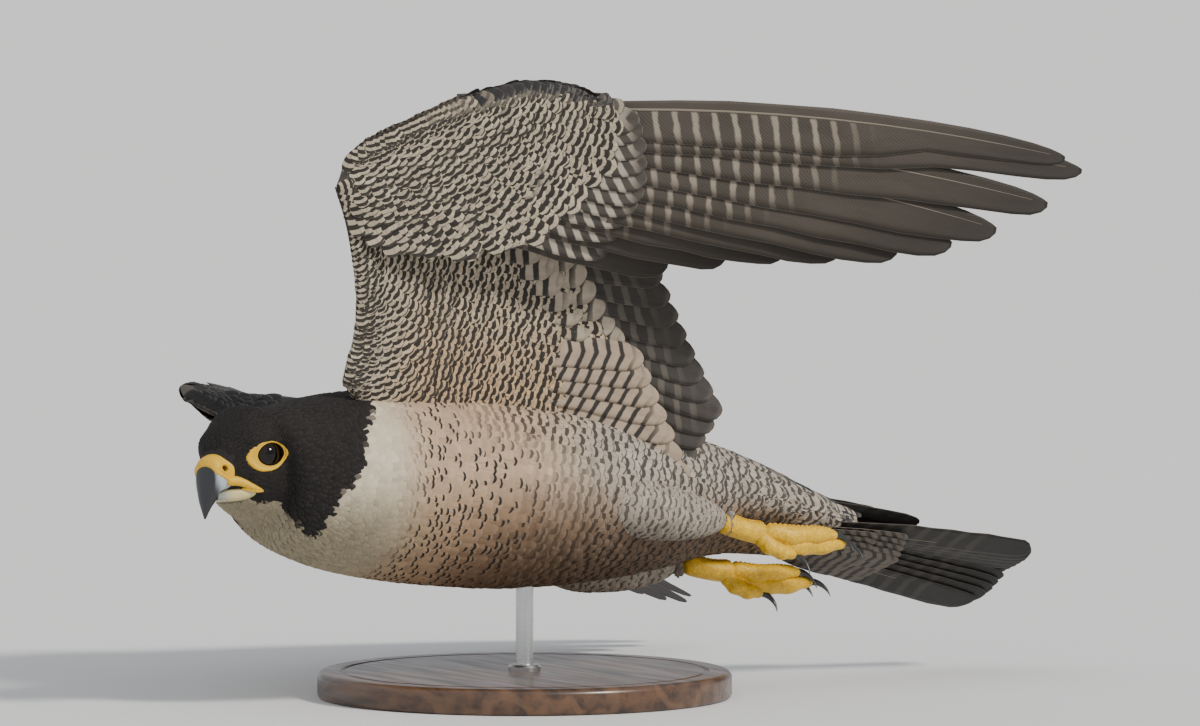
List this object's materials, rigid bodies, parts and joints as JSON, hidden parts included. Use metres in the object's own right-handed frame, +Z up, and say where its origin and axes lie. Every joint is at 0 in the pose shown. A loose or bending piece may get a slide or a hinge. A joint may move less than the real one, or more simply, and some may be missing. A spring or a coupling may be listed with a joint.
{
  "type": "peregrine falcon in flight, still life-size model on a display stand",
  "caption": "Life-size still model of a peregrine falcon in banking flight, wings raised and swept, feet trailing under the tail, on a round base with a short rod.",
  "frame": {"origin": "middle of the stand base's underside", "axes": "+Z up, -Y the way the bird heads, +X to its left; the bird is pitched 11 degrees bill up and banked 32.5 degrees left wing up"},
  "size_m": [0.3258, 0.4433, 0.285],
  "materials": {
    "dark_plumage": "matt, close charcoal feathers of the hood",
    "pale_plumage": "matt, buff to grey-white feathers with dark drops and bars",
    "flight_feathers": "soft sheen, grey-brown vanes with pale bars",
    "foot_skin": "scaly, bright yellow",
    "claw_horn": "satin black horn",
    "cere_skin": "waxy yellow skin",
    "bill_horn": "satin blue-grey horn, black at the tip",
    "eye": "wet, very dark brown",
    "stand_wood": "dark stained, satin varnish",
    "stand_steel": "satin"
  },
  "bodies": {
    "root": {"head": "dark_plumage", "neck": "pale_plumage", "torso": "pale_plumage", "tail": "flight_feathers", "wing_left_arm": "flight_feathers", "wing_left_hand": "flight_feathers", "wing_right_arm": "flight_feathers", "wing_right_hand": "flight_feathers", "leg_left": "pale_plumage", "leg_right": "pale_plumage", "foot_left": "foot_skin", "foot_right": "foot_skin", "claw_left_1": "claw_horn", "claw_left_2": "claw_horn", "claw_left_3": "claw_horn", "claw_left_4": "claw_horn", "claw_right_1": "claw_horn", "claw_right_2": "claw_horn", "claw_right_3": "claw_horn", "claw_right_4": "claw_horn", "cere": "cere_skin", "bill_upper": "bill_horn", "bill_lower": "bill_horn", "eye_left": "eye", "eye_right": "eye", "stand_base": "stand_wood", "stand_rod": "stand_steel"}
  },
  "joints": []
}
